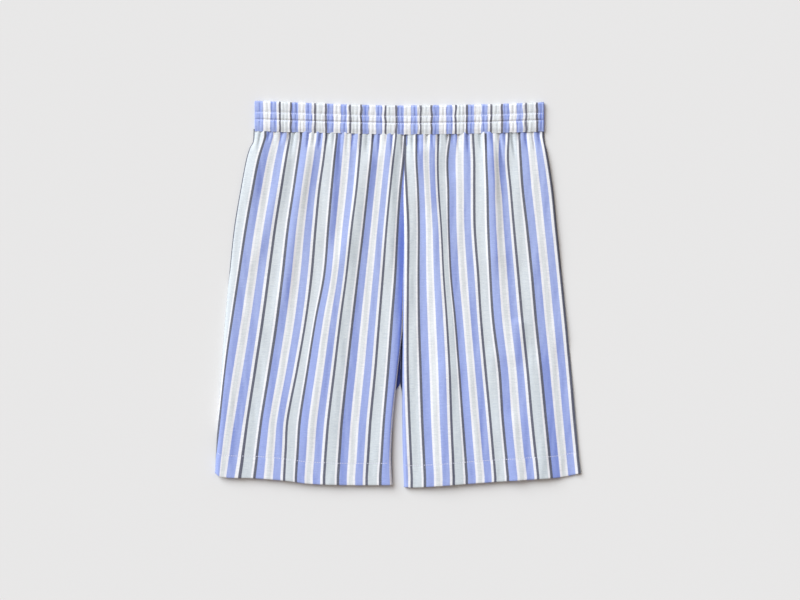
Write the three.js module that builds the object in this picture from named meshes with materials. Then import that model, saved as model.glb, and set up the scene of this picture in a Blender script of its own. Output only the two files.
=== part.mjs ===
// Bermuda shorts of striped cotton, laid flat on a table with the front upwards.
//
// Millimetres. +X is to the wearer's left, +Y towards the waist, +Z up from the table.
// The origin is on the table, under the middle of the garment.
//
// The back panels lie on the table. The pocket bags lie on them, and the front panels lie
// over both, in low folds that run from the gathered waist to the hems. A broad elastic
// waistband, sewn in three channels, is gathered into short ribs at the front and the back.
import * as THREE from "three";

// Driving dimensions of the cloth and of how the layers lie.
const CLOTH = 1.2; // wall of one layer
const HEM_CLOTH = 2.0; // wall where the hem is turned up
const HEM_DEPTH = 28; // from the hem edge to its row of stitches
const SEAM_GAP = 0.3; // between two pieces that are sewn together
const BAG_CLOTH = 1.0; // both layers of a pocket bag, pressed together
const LOFT = 2.0; // how far the front stands clear of the back between its edges
const LEG_RISE = 1.2; // how much more it does so at the hems
const LEG_RISE_TOP = 40; // the height in plan below which the legs rise to that
const LEG_RISE_END = -200; // and the one at which they have
const CHANNEL_SHARES = [0.37, 0.24, 0.39]; // of the waistband's height, from its top edge down
const BAND_CLOTH = 3.0; // cloth, elastic and cloth, in a channel
const BAND_ROW_CLOTH = 1.8; // the same, drawn down along a row of stitches or an edge
const BAND_END_CLOTH = 1.5; // and pressed thinner where the band turns at its ends

// How the panels lie in plan: a row for each height.
// Sides are the wearer's. "inner" is the centre seam and below it the inside leg.
const OUTLINE = [
  { y: 204, rightSide: -181.5, rightInner: 8.0, leftInner: 8.0, leftSide: 181.5 },
  { y: 190, rightSide: -182.5, rightInner: 8.0, leftInner: 8.0, leftSide: 182.4 },
  { y: 183, rightSide: -186.5, rightInner: 8.0, leftInner: 8.0, leftSide: 184.2 },
  { y: 168, rightSide: -191.0, rightInner: 7.8, leftInner: 7.8, leftSide: 187.4 },
  { y: 131, rightSide: -198.0, rightInner: 7.3, leftInner: 7.3, leftSide: 193.0 },
  { y: 83, rightSide: -206.0, rightInner: 7.0, leftInner: 7.0, leftSide: 197.8 },
  { y: 24, rightSide: -212.0, rightInner: 5.7, leftInner: 5.8, leftSide: 203.9 },
  { y: -32, rightSide: -217.0, rightInner: 4.2, leftInner: 5.2, leftSide: 209.6 },
  { y: -63, rightSide: -219.5, rightInner: 2.4, leftInner: 4.8, leftSide: 212.5 },
  { y: -94, rightSide: -221.5, rightInner: -0.8, leftInner: 4.4, leftSide: 215.6 },
  { y: -150, rightSide: -225.8, rightInner: -7.0, leftInner: 4.2, leftSide: 220.8 },
  { y: -200, rightSide: -228.6, rightInner: -9.4, leftInner: 5.4, leftSide: 225.2 },
  { y: -242, rightSide: -230.0, rightInner: -8.0, leftInner: 6.6, leftSide: 229.6 },
];
// The back is joined further down than the front, to the fork, which shows between the legs.
const BACK_INNER = [
  { y: 204, right: 8.0, left: 8.0 },
  { y: 83, right: 7.0, left: 7.0 },
  { y: -32, right: 3.0, left: 3.0 },
  { y: -112, right: 1.4, left: 1.4 },
  { y: -150, right: -6.0, left: 3.6 },
  { y: -200, right: -8.8, left: 5.0 },
  { y: -242, right: -8.0, left: 6.6 },
];
// Where the hems end, from the wearer's right to left.
const RIGHT_HEM = [
  { x: -230, y: -223.0 },
  { x: -222, y: -228.2 },
  { x: -180, y: -229.8 },
  { x: -142, y: -232.8 },
  { x: -110, y: -236.8 },
  { x: -60, y: -238.3 },
  { x: -8, y: -238.2 },
];
const LEFT_HEM = [
  { x: 6, y: -240.8 },
  { x: 18, y: -241.5 },
  { x: 52, y: -239.4 },
  { x: 102, y: -235.6 },
  { x: 158, y: -231.8 },
  { x: 200, y: -228.8 },
  { x: 230, y: -223.2 },
];
// The waistband's top edge and its seam with the panels.
const BAND = [
  { x: -181, top: 241.5, seam: 203.6 },
  { x: -136, top: 239.8, seam: 202.4 },
  { x: -60, top: 236.8, seam: 200.6 },
  { x: 2, top: 235.6, seam: 199.4 },
  { x: 64, top: 236.2, seam: 200.0 },
  { x: 127, top: 237.6, seam: 201.4 },
  { x: 183, top: 240.0, seam: 203.2 },
];
// The largest folds of the fronts: where each one starts and ends, its half width there,
// and its height, which is negative for a trough.
const FOLDS = [
  { xTop: -170, yTop: 205, xEnd: -190, yEnd: -20, halfWidth: 11, height: 1.0 },
  { xTop: -136, yTop: 200, xEnd: -184, yEnd: -30, halfWidth: 9, height: 0.8 },
  { xTop: -158, yTop: -20, xEnd: -174, yEnd: -235, halfWidth: 13, height: 0.8 },
  { xTop: -104, yTop: 205, xEnd: -150, yEnd: -100, halfWidth: 12, height: 1.3 },
  { xTop: -120, yTop: 0, xEnd: -151, yEnd: -230, halfWidth: 9, height: -0.8 },
  { xTop: -73, yTop: 120, xEnd: -117, yEnd: -225, halfWidth: 14, height: 1.3 },
  { xTop: -43, yTop: 205, xEnd: -72, yEnd: -40, halfWidth: 14, height: 1.3 },
  { xTop: -18, yTop: 205, xEnd: -49, yEnd: -236, halfWidth: 11, height: -1.1 },
  { xTop: 25, yTop: 190, xEnd: 26, yEnd: -210, halfWidth: 9, height: -0.8 },
  { xTop: 37, yTop: 180, xEnd: 62, yEnd: -130, halfWidth: 12, height: 1.3 },
  { xTop: 60, yTop: 190, xEnd: 78, yEnd: -225, halfWidth: 10, height: -1.1 },
  { xTop: 82, yTop: 10, xEnd: 98, yEnd: -235, halfWidth: 9, height: 0.8 },
  { xTop: 116, yTop: 205, xEnd: 130, yEnd: -90, halfWidth: 13, height: 1.5 },
  { xTop: 116, yTop: -50, xEnd: 146, yEnd: -235, halfWidth: 12, height: 0.9 },
  { xTop: 136, yTop: 205, xEnd: 160, yEnd: -50, halfWidth: 10, height: -1.1 },
  { xTop: 166, yTop: 170, xEnd: 190, yEnd: -230, halfWidth: 14, height: 0.9 },
];
const FOLD_START = 0.25; // share of a fold's length over which it rises
const FOLD_END = 0.33; // share over which it runs out

// A gathered rib runs from a groove over two shoulders to the next groove.
const SHOULDER = 0.3; // from a groove to the rib's flat top, as a share of the rib's pitch
const GROOVE_TO_SHOULDER = 0.7; // the level of the ungathered cloth between the two

// How the waistband's channels and ribs stand out.
const RIB_HEIGHT = 0.9; // of a gathered rib over its groove
const ROW_GROOVE = 0.4; // share of that height which is left on a row of stitches
const CHANNEL_SHOULDER = 0.3; // from a row of stitches to a channel's flat top, of its height
const BAND_SIDE_ROLL = 9; // over which the band's ends turn down
const BAND_BULGE = 1.0; // of the channels past the ends of the rows of stitches
const INNER_SHARES = [0, 0.37, 0.61, 1]; // points across the band's flat inner side

// How the garment's parts curl at their edges, and where the waist gathers run out.
const SIDE_ROLL = 11; // from a side edge to the full loft
const RIGHT_INNER_ROLL = 26; // the wearer's right leg sinks slowly to the centre seam
const LEFT_INNER_ROLL = 7; // the left one rises from it at once
const WAIST_RISE = 2.6; // of the front panel's underside where it meets the band
const WAIST_FADE = 62; // below the band, where that rise has gone
const GATHER_HEIGHT = 1.0;
const GATHER_FADE = 46;
const FRONT_GATHERS = 13; // in each front panel
const BACK_GATHERS = 10; // in each back panel
const BACK_GATHER_HEIGHT = 0.5;
const BACK_GATHER_FADE = 17;
const FRONT_BAND_RIBS = 50;
const BACK_BAND_RIBS = 36;

// In-seam pockets: a mouth in each side seam, and the bag behind it.
const POCKET_TOP = 182;
const POCKET_MOUTH = 160;
const BAG_WIDTH = 140;
const BAG_DROP = 72; // of the bag below its mouth
const BAG_BEND = 30; // reach of the curves of a bag's rounded bottom
const BAG_MARGIN = 10; // how far past a bag's edges the front is still held up by it
const BAG_EASE = 12; // over which it comes down from there
const MOUTH_STEPS = 8; // points along a pocket's mouth

const { clamp, lerp, smoothstep } = THREE.MathUtils;

// A smooth function through one column of a table, by another column that rises or falls.
function through(table, at, value) {
  const rows = [...table].sort((a, b) => a[at] - b[at]);
  const slopes = rows.map((row, i) => {
    const before = rows[Math.max(i - 1, 0)];
    const after = rows[Math.min(i + 1, rows.length - 1)];
    return (after[value] - before[value]) / (after[at] - before[at]);
  });
  return (place) => {
    const p = clamp(place, rows[0][at], rows[rows.length - 1][at]);
    let i = rows.findIndex((row) => row[at] >= p);
    i = Math.max(i, 1);
    const low = rows[i - 1];
    const high = rows[i];
    const span = high[at] - low[at];
    const t = (p - low[at]) / span;
    const rise = high[value] - low[value];
    const a = slopes[i - 1] * span - rise;
    const b = rise - slopes[i] * span;
    return low[value] + t * rise + t * (1 - t) * (a * (1 - t) + b * t);
  };
}

const rightSide = through(OUTLINE, "y", "rightSide");
const leftSide = through(OUTLINE, "y", "leftSide");
const bandTop = through(BAND, "x", "top");
const bandSeam = through(BAND, "x", "seam");

// The two legs. "hand" is -1 for the wearer's right and +1 for the left.
const LEGS = [
  {
    name: "right",
    hand: -1,
    side: rightSide,
    inner: through(OUTLINE, "y", "rightInner"),
    backInner: through(BACK_INNER, "y", "right"),
    hem: through(RIGHT_HEM, "x", "y"),
    innerRoll: RIGHT_INNER_ROLL,
  },
  {
    name: "left",
    hand: 1,
    side: leftSide,
    inner: through(OUTLINE, "y", "leftInner"),
    backInner: through(BACK_INNER, "y", "left"),
    hem: through(LEFT_HEM, "x", "y"),
    innerRoll: LEFT_INNER_ROLL,
  },
];

// The height that the folds add at a point: soft ridges and troughs that run out at both ends.
function foldHeight(x, y) {
  let height = 0;
  for (const fold of FOLDS) {
    const along = (fold.yTop - y) / (fold.yTop - fold.yEnd);
    if (along <= 0 || along >= 1) continue;
    const across = (x - lerp(fold.xTop, fold.xEnd, along)) / fold.halfWidth;
    const strength = Math.min(1, along / FOLD_START, (1 - along) / FOLD_END);
    height += fold.height * strength * Math.exp(-across * across);
  }
  return height;
}

// Gathers as flat-topped ribs: 1 on a rib, and 0 in the groove at each whole number of "count".
function rib(count) {
  const phase = count - Math.floor(count);
  return Math.min(1, phase / SHOULDER, (1 - phase) / SHOULDER);
}

// The edge of a pocket bag that is furthest in from the side seam.
function bagInnerX(leg) {
  return leg.side(POCKET_TOP) - leg.hand * BAG_WIDTH;
}

// 1 over a pocket bag and 0 clear of it, with a soft edge.
function overBag(leg, x, y) {
  const pastBag = leg.hand * (bagInnerX(leg) - x);
  const bottom = POCKET_TOP - POCKET_MOUTH - BAG_DROP - BAG_MARGIN;
  const top = POCKET_TOP + BAG_MARGIN;
  return (
    (1 - smoothstep(pastBag - BAG_MARGIN, 0, BAG_EASE)) *
    smoothstep(y, bottom - BAG_EASE, bottom) *
    (1 - smoothstep(y, top, top + BAG_EASE))
  );
}

// 0 at a panel's side and inner edges, and 1 where it has risen to its full height.
function spreadOf(leg, inner, x, y) {
  const fromSide = Math.abs(leg.side(y) - x);
  const fromInner = Math.abs(inner(y) - x);
  return smoothstep(fromSide, 0, SIDE_ROLL) * smoothstep(fromInner, 0, leg.innerRoll);
}

// The underside of a front panel at (x, y), where "gather" is the rib function's value there.
function frontUnderside(leg, x, y, gather, inHem) {
  const spread = spreadOf(leg, leg.inner, x, y);
  const belowBand = bandSeam(x) - y;
  const waist = 1 - smoothstep(belowBand, 0, WAIST_FADE);
  const gathered = 1 - smoothstep(belowBand, 0, GATHER_FADE);
  const onBack = CLOTH + SEAM_GAP + (BAG_CLOTH + SEAM_GAP) * overBag(leg, x, y);
  const hemRise = (HEM_CLOTH - CLOTH) * inHem;
  const lower = 1 - smoothstep(y, LEG_RISE_END, LEG_RISE_TOP);
  const full = LOFT + LEG_RISE * lower + foldHeight(x, y);
  const loft = lerp(full, WAIST_RISE, waist);
  const ribs = GATHER_HEIGHT * gathered * (gather - GROOVE_TO_SHOULDER);
  return onBack + hemRise + spread * (loft + ribs);
}

function meshOf(points, faces) {
  const places = points.flatMap((point) => point.toArray());
  const geometry = new THREE.BufferGeometry();
  geometry.setAttribute("position", new THREE.Float32BufferAttribute(places, 3));
  geometry.setIndex(faces);
  geometry.computeVertexNormals();
  return geometry;
}

// A closed wall between two grids of points that have the same rows and columns.
// Both are seen from the outer side, with columns to the right and rows downwards.
function wall(outer, inner) {
  const columns = outer.length;
  const rows = outer[0].length;
  const points = [...outer.flat(), ...inner.flat()];
  const inside = columns * rows;
  const faces = [];
  const quad = (a, b, c, d) => faces.push(a, b, c, a, c, d);
  for (let i = 0; i < columns - 1; i++) {
    for (let j = 0; j < rows - 1; j++) {
      const a = i * rows + j;
      const b = a + rows;
      quad(a, a + 1, b + 1, b);
      quad(inside + a, inside + b, inside + b + 1, inside + a + 1);
    }
  }
  for (let i = 0; i < columns - 1; i++) {
    const top = i * rows;
    const bottom = top + rows - 1;
    quad(top, top + rows, inside + top + rows, inside + top);
    quad(bottom + rows, bottom, inside + bottom, inside + bottom + rows);
  }
  for (let j = 0; j < rows - 1; j++) {
    const last = (columns - 1) * rows + j;
    quad(j + 1, j, inside + j, inside + j + 1);
    quad(last, last + 1, inside + last + 1, inside + last);
  }
  return meshOf(points, faces);
}

// A grid of points: make(across, down) for each column and row.
function grid(columnPlaces, rowPlaces, make) {
  return columnPlaces.map((across) => rowPlaces.map((down) => make(across, down)));
}

// Columns at the groove and at both shoulders of each gather.
function gatherColumns(count) {
  const places = [];
  for (let n = 0; n < count; n++) {
    places.push(n / count, (n + SHOULDER) / count, (n + 1 - SHOULDER) / count);
  }
  return [...places, 1];
}

// Rows of a panel as shares of the way from its waist seam to its hem's row of stitches.
const FRONT_ROWS = [0, 0.035, 0.08, 0.14, 0.21, 0.3, 0.4, 0.5, 0.6, 0.7, 0.8, 0.9, 1];
const BACK_ROWS = [0, 0.04, 0.09, 0.3, 0.55, 0.8, 1];
const STITCH_TO_HEM = 3; // mm over which the wall thickens below the row of stitches

// One panel's plan: the place of a point "across" from the wearer's right to left,
// on a row that is a share of the panel's length or, past 1, in the hem.
function planPoint(leg, inner, across, down) {
  const edges = (height) => {
    const side = leg.side(height);
    const seam = inner(height) + (leg.hand * SEAM_GAP) / 2;
    return leg.hand < 0 ? [side, seam] : [seam, side];
  };
  let x = lerp(...edges(0), across);
  let y = 0;
  for (let pass = 0; pass < 4; pass++) {
    const seam = bandSeam(x) - SEAM_GAP / 2;
    const hem = leg.hem(x);
    const stitches = hem + HEM_DEPTH;
    const inHem = [stitches - STITCH_TO_HEM, hem];
    y = down <= 1 ? lerp(seam, stitches, down) : inHem[down - 2];
    x = lerp(...edges(y), across);
  }
  return [x, y];
}

function frontPanel(leg) {
  const columns = gatherColumns(FRONT_GATHERS);
  const rows = [...FRONT_ROWS, 2, 3];
  const surface = (isOuter) =>
    grid(columns, rows, (across, down) => {
      const [x, y] = planPoint(leg, leg.inner, across, down);
      const inHem = down > 1 ? 1 : 0;
      const under = frontUnderside(leg, x, y, rib(across * FRONT_GATHERS), inHem);
      const thick = inHem ? HEM_CLOTH : CLOTH;
      return new THREE.Vector3(x, y, under + (isOuter ? thick : 0));
    });
  return wall(surface(true), surface(false));
}

// The back lies flat on the table, apart from the short gathers under its waistband.
function backPanel(leg) {
  const columns = gatherColumns(BACK_GATHERS);
  const rows = [...BACK_ROWS, 2, 3];
  const surface = (isUpper) =>
    grid(columns, rows, (across, down) => {
      const [x, y] = planPoint(leg, leg.backInner, across, down);
      const gathered = 1 - smoothstep(bandSeam(x) - y, 0, BACK_GATHER_FADE);
      const raised = gathered * spreadOf(leg, leg.backInner, x, y);
      const under = BACK_GATHER_HEIGHT * raised * (1 - rib(across * BACK_GATHERS));
      const thick = down > 1 ? HEM_CLOTH : CLOTH;
      return new THREE.Vector3(x, y, under + (isUpper ? thick : 0));
    });
  return wall(surface(true), surface(false));
}

// A solid through loops of points, one loop for each station, closed at both ends.
// Each loop turns from +Y to +Z, seen with X towards the eye.
function throughLoops(loops) {
  const size = loops[0].length;
  const faces = [];
  for (let i = 0; i < loops.length - 1; i++) {
    for (let k = 0; k < size; k++) {
      const a = i * size + k;
      const b = i * size + ((k + 1) % size);
      faces.push(a, b, b + size, a, b + size, a + size);
    }
  }
  const outline = loops[0].map((p) => new THREE.Vector2(p.y, p.z));
  const last = (loops.length - 1) * size;
  for (const [a, b, c] of THREE.ShapeUtils.triangulateShape(outline, [])) {
    const turned = THREE.ShapeUtils.area([outline[a], outline[b], outline[c]]) > 0;
    const [p, q, r] = turned ? [a, b, c] : [a, c, b];
    faces.push(p, r, q, last + p, last + q, last + r);
  }
  return meshOf(loops.flat(), faces);
}

// The band's profile across its height: for each point its share of the height from the
// top edge, and its share of a channel's puff, which is 0 on the rows of stitches.
function channelProfile() {
  const profile = [{ share: 0, puff: 0 }];
  let start = 0;
  for (const height of CHANNEL_SHARES) {
    profile.push({ share: start + CHANNEL_SHOULDER * height, puff: 1 });
    profile.push({ share: start + (1 - CHANNEL_SHOULDER) * height, puff: 1 });
    start += height;
    profile.push({ share: start, puff: 0 });
  }
  return profile;
}

// The front or back half of the waistband. Each is flat on the side towards the other half,
// and has the channels and the ribs on its outer side.
function waistbandHalf({ ribs, isFront }) {
  const rightEnd = rightSide(BAND[0].seam);
  const leftEnd = leftSide(BAND[BAND.length - 1].seam);
  const loops = gatherColumns(ribs).map((across) => {
    const x = lerp(rightEnd, leftEnd, across);
    const fromEnd = Math.min(x - rightEnd, leftEnd - x);
    const turn = smoothstep(fromEnd, 0, BAND_SIDE_ROLL);
    const top = bandTop(x);
    const seam = bandSeam(x) + SEAM_GAP / 2;
    const meeting = lerp(BAND_END_CLOTH, BAND_CLOTH, turn);
    const outer = channelProfile().map(({ share, puff }) => {
      const bulge = BAND_BULGE * puff * (1 - turn) * Math.sign(across - 0.5);
      const channel = lerp(BAND_ROW_CLOTH, BAND_CLOTH, puff);
      const groove = RIB_HEIGHT * (1 - rib(across * ribs)) * lerp(ROW_GROOVE, 1, puff);
      const thick = lerp(BAND_END_CLOTH, channel - groove, turn);
      const z = isFront ? meeting + SEAM_GAP + thick : meeting - thick;
      return new THREE.Vector3(x + bulge, lerp(top, seam, share), z);
    });
    const inner = INNER_SHARES.map(
      (share) => new THREE.Vector3(x, lerp(top, seam, share), isFront ? meeting + SEAM_GAP : meeting),
    );
    return isFront ? [...outer, ...inner.reverse()] : [...inner, ...outer.reverse()];
  });
  return throughLoops(loops);
}

// A pocket bag lies on the back panel, with its mouth in the side seam.
function pocketBag(leg) {
  const inward = -leg.hand;
  const mouthEnd = POCKET_TOP - POCKET_MOUTH;
  const bagEnd = mouthEnd - BAG_DROP;
  const innerX = bagInnerX(leg);
  const shape = new THREE.Shape();
  shape.moveTo(innerX, POCKET_TOP);
  shape.lineTo(leg.side(POCKET_TOP) + inward * SEAM_GAP, POCKET_TOP);
  for (let step = 1; step <= MOUTH_STEPS; step++) {
    const y = lerp(POCKET_TOP, mouthEnd, step / MOUTH_STEPS);
    shape.lineTo(leg.side(y) + inward * SEAM_GAP, y);
  }
  const mouthX = leg.side(mouthEnd);
  const lowX = mouthX + (inward * BAG_WIDTH) / 2;
  const bend = inward * BAG_BEND;
  shape.bezierCurveTo(mouthX + bend / 2, mouthEnd - BAG_BEND, mouthX + bend, bagEnd, lowX, bagEnd);
  shape.bezierCurveTo(lowX + bend, bagEnd, innerX, bagEnd + BAG_BEND / 2, innerX, bagEnd + 2 * BAG_BEND);
  const sheet = { depth: BAG_CLOTH, bevelEnabled: false, curveSegments: 8 };
  return new THREE.ExtrudeGeometry(shape, sheet).translate(0, 0, CLOTH + SEAM_GAP);
}

const cotton = new THREE.MeshStandardMaterial({ color: 0xc9d2ec, roughness: 0.85, metalness: 0 });
const bandCotton = new THREE.MeshStandardMaterial({ color: 0xbfc9ea, roughness: 0.85, metalness: 0 });
const bagCotton = new THREE.MeshStandardMaterial({ color: 0xeef0f2, roughness: 0.9, metalness: 0 });

function piece(name, geometry, material) {
  const mesh = new THREE.Mesh(geometry, material);
  mesh.name = name;
  return mesh;
}

const shorts = new THREE.Group();
shorts.name = "bermuda_shorts";
for (const leg of LEGS) {
  shorts.add(piece(`back_${leg.name}`, backPanel(leg), cotton));
  shorts.add(piece(`pocket_bag_${leg.name}`, pocketBag(leg), bagCotton));
  shorts.add(piece(`front_${leg.name}`, frontPanel(leg), cotton));
}
const backBand = waistbandHalf({ ribs: BACK_BAND_RIBS, isFront: false });
const frontBand = waistbandHalf({ ribs: FRONT_BAND_RIBS, isFront: true });
shorts.add(piece("waistband_back", backBand, bandCotton));
shorts.add(piece("waistband_front", frontBand, bandCotton));

export default shorts;
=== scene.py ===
"""Bermuda shorts of striped cotton, laid flat with the front upwards, as an add-on.

Each piece of cloth is a fine sheet that lies on the form of its solid. Sizes in the tables are
in millimetres in the row frame: +X to the wearer's left, +Y towards the waist, +Z up.
"""

import math
from collections import namedtuple

import bmesh
import bpy
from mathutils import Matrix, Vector, noise


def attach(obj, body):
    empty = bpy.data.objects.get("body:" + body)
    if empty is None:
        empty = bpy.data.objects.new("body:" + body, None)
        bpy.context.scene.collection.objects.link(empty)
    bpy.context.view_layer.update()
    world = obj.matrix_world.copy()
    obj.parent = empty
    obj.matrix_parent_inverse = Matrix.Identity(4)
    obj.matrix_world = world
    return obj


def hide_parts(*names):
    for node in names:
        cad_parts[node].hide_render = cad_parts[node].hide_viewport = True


bl_info = {
    "name": "Striped bermuda shorts",
    "version": (1, 0, 0),
    "blender": (4, 5, 0),
    "location": "View3D > Sidebar > Shorts",
    "description": "Builds a pair of elastic-waisted striped shorts, laid flat",
    "category": "Object",
}

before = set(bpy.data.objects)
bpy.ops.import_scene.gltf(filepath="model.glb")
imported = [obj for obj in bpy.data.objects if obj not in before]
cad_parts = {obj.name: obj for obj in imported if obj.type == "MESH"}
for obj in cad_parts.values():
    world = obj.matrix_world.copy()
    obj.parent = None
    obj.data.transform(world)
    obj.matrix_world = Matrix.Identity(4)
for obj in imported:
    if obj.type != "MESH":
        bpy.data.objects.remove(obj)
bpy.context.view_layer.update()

MM = 0.001


def table(kind, *rows):
    """A table whose rows have the columns of a named tuple."""
    return tuple(kind(*row) for row in rows)


# The stripes, in order across the cloth. A repeat starts at the middle of one dark line,
# and there is a second dark line after the narrow blue stripe.
STRIPE_REPEAT = 52.5
SECOND_LINE = 36.1
Stripe = namedtuple("Stripe", "end colour")
DARK = (0.137, 0.144, 0.183)
BLUE = (0.38, 0.461, 0.79)
NARROW_BLUE = (0.405, 0.487, 0.81)
WHITE = (0.895, 0.897, 0.93)
PALE_GREY = (0.76, 0.79, 0.81)
AQUA = (0.67, 0.72, 0.755)

# The waistband's copy of the stripes: its paler stripes are painted lighter, as painted
# light on the gathers, and its dark lines are greyer.
BAND_PAINTED_LIGHTER = {
    DARK: (0.165, 0.166, 0.2),
    PALE_GREY: (0.84, 0.857, 0.88),
    AQUA: (0.765, 0.80, 0.825),
}
FLAT = {}

STRIPES = table(
    Stripe,
    (1.6, DARK),
    (11.1, BLUE),
    (13.9, WHITE),
    (19.1, PALE_GREY),
    (21.9, WHITE),
    (31.2, NARROW_BLUE),
    (34.5, WHITE),
    (37.7, DARK),
    (48.5, AQUA),
    (50.9, WHITE),
    (52.5, DARK),
)
STRIPE_BLUR = 0.35
STRIPE_WANDER = 0.4
# The colour by which painted deep shade darkens the cloth.
DEEP_SHADE = (0.25, 0.27, 0.42)

# How thick and thin threads of the weft, and the grain of the yarn, tint the cloth.
SLUB_TINTS = ((0.28, (0.80, 0.82, 0.88)), (0.5, (0.97, 0.97, 0.98)), (0.72, (1.1, 1.09, 1.06)))
GRAIN_TINTS = ((0.3, (0.88, 0.88, 0.9)), (0.7, (1.08, 1.08, 1.06)))
TINT_AMOUNT = 0.7
COTTON_SURFACE = {
    "Roughness": 0.88,
    "Specular IOR Level": 0.18,
    "Sheen Weight": 0.12,
    "Sheen Roughness": 0.5,
}

# Pale specks in the yarn, and the threads of the weave.
SPECKS_FROM = 0.62
SPECK_AMOUNT = 0.35
SPECK_COLOUR = (0.55, 0.55, 0.6)
WEAVE_PITCH = 0.9
WEAVE_DEPTH = 0.05
WEAVE_STRENGTH = 0.55

# A wave texture of scale 1 has this many radians to a unit.
WAVE_RADIANS = 20

# The other colours, and the lights.
POCKET_COLOUR = (0.8, 0.81, 0.83)
THREAD_COLOUR = (0.82, 0.83, 0.96)
FLOOR_COLOUR = (0.785, 0.785, 0.787)
SUN_COLOUR = (0.938, 1.0, 1.05)
SUN_TRAVEL = (0.58, -0.56, -0.59)
WORLD_COLOUR = (1.16, 1.0, 0.88, 1)

# The reach of the floor and where the camera hangs, in metres, and its lens.
FLOOR_SIZE = 6
CAMERA_PLACE = (0.0014, -0.0072, 3.0)
CAMERA_LENS = 108
SENSOR_WIDTH = 36

# How the panels lie in plan. "inner" is the centre seam, and below it the inside leg.
Outline = namedtuple("Outline", "y right_side right_inner left_inner left_side")
OUTLINE = table(
    Outline,
    (204, -181.5, 8.0, 7.8, 181.5),
    (190, -182.5, 8.0, 7.5, 182.4),
    (183, -186.5, 8.0, 7.3, 184.2),
    (168, -191.0, 7.8, 6.8, 187.4),
    (131, -198.0, 7.3, 5.7, 193.0),
    (83, -206.0, 7.0, 6.2, 197.8),
    (24, -212.0, 5.7, 5.8, 203.9),
    (-32, -217.0, 4.2, 5.2, 209.6),
    (-63, -219.5, 2.4, 4.8, 212.5),
    (-94, -221.5, -0.8, 4.4, 215.6),
    (-150, -225.8, -7.0, 4.2, 220.8),
    (-200, -228.6, -9.4, 5.4, 225.2),
    (-242, -230.0, -8.0, 6.6, 229.6),
)
BackInner = namedtuple("BackInner", "y right left")
BACK_INNER = table(
    BackInner,
    (204, 8.0, 8.0),
    (83, 7.0, 7.0),
    (-32, 3.0, 3.0),
    (-111, 1.4, 1.6),
    (-123, -5.0, 3.8),
    (-150, -7.2, 4.0),
    (-200, -8.8, 5.0),
    (-242, -8.0, 6.6),
)
HemPoint = namedtuple("HemPoint", "x y")
RIGHT_HEM = table(
    HemPoint,
    (-230, -223.0),
    (-222, -228.2),
    (-180, -229.8),
    (-142, -232.8),
    (-110, -236.8),
    (-60, -238.3),
    (-8, -238.2),
)
LEFT_HEM = table(
    HemPoint,
    (6, -240.8),
    (18, -241.5),
    (52, -239.4),
    (102, -235.6),
    (158, -231.8),
    (200, -228.8),
    (230, -223.2),
)
BandPoint = namedtuple("BandPoint", "x top seam")
BAND = table(
    BandPoint,
    (-181, 241.5, 203.6),
    (-136, 239.8, 202.4),
    (-60, 236.8, 200.6),
    (2, 235.6, 199.4),
    (64, 236.2, 200.0),
    (127, 237.6, 201.4),
    (183, 240.0, 203.2),
)

# How the stripes run down each front: where its dark lines lie at a height. "at_side" and
# "at_inner" are how much cloth lies between the panel's edges and its outermost lines.
RightGrain = namedtuple("RightGrain", "y at_side a1 b1 a2 b2 a3 b3 a4 b4 a5 at_inner")
RIGHT_GRAIN = table(
    RightGrain,
    (197, 16.2, -166.5, -136, -122, -90.5, -77.5, -47, -32.5, -3.5, 7.4, 0.5),
    (168, 16.2, -175, -141, -126, -94, -80.5, -49.5, -35, -7, 5.4, 2.4),
    (130, 16.2, -182.5, -147, -131.5, -99.5, -84, -53, -39, -11, 1.4, 5.5),
    (83, 16.4, -191, -154.5, -138.5, -104, -88, -59, -44, -15.5, -1.5, 10.5),
    (24, 15.5, -200, -162.5, -145, -109, -93, -65.5, -51, -20, -4.5, 11.5),
    (-32, 11.5, -208.5, -170, -152, -116, -104, -73, -57.5, -24.5, -9, 11.6),
    (-95, 6.5, -217, -179.5, -161.5, -127, -114, -80.5, -64.5, -29.5, -13.5, 12.5),
    (-157, 2.6, -223.5, -189, -171.5, -139, -123.5, -88, -71, -35.5, -18.5, 13.3),
    (-192, 1.0, -228.2, -193.5, -176, -141, -126, -91, -73.5, -37.8, -20.8, 13.8),
    (-228, 1.0, -233.4, -198, -180.5, -143, -128, -93.5, -76, -40, -23, 14.0),
)
LeftGrain = namedtuple("LeftGrain", "y at_inner b0 a1 b1 a2 b2 a3 b3 a4 b4 at_side")
LEFT_GRAIN = table(
    LeftGrain,
    (197, 0.3, 7.8, 22, 49.5, 64, 92.5, 108.5, 137, 150.5, 180.2, 1.7),
    (168, 1.0, 7.8, 22, 48.5, 60.5, 94, 109, 136, 152, 185.6, 1.9),
    (130, 4.1, 9.6, 24, 49.5, 61.5, 94, 110.5, 139.5, 154.5, 191.3, 1.9),
    (83, 5.5, 12, 25, 53, 62, 94.5, 111.5, 143.5, 160, 196, 1.9),
    (24, 6.2, 11.5, 24.5, 56, 64.5, 99, 114, 149, 166, 202.2, 1.9),
    (-32, 6.4, 11, 25, 60, 70, 102.5, 117.5, 154, 171, 207.8, 2.0),
    (-95, 7.4, 11, 27, 63.5, 75, 108, 125.5, 160.5, 177.5, 213.8, 2.1),
    (-157, 9.2, 13, 29, 65.5, 79.5, 114, 129.5, 166, 183.5, 219, 2.4),
    (-228, 10.6, 16, 32.5, 68.5, 85, 120, 136.5, 173.5, 190.5, 226, 2.2),
)

# Where a fold draws the stripes together: along a line, with the reach to each side and
# the most that the cloth is shifted.
Pinch = namedtuple("Pinch", "x_top y_top x_end y_end reach amount")
PINCHES = (Pinch(121, 196, 125.5, 122, 4.5, 4.0),)

# Along the right front's side the stripes are shifted too, in a strip that starts and ends
# at these distances from the edge, and more and more down these heights.
SIDE_PINCH = 3.2
SIDE_PINCH_START = (2, 10)
SIDE_PINCH_END = (18, 37)
SIDE_PINCH_SPAN = (-20, -190)

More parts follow.
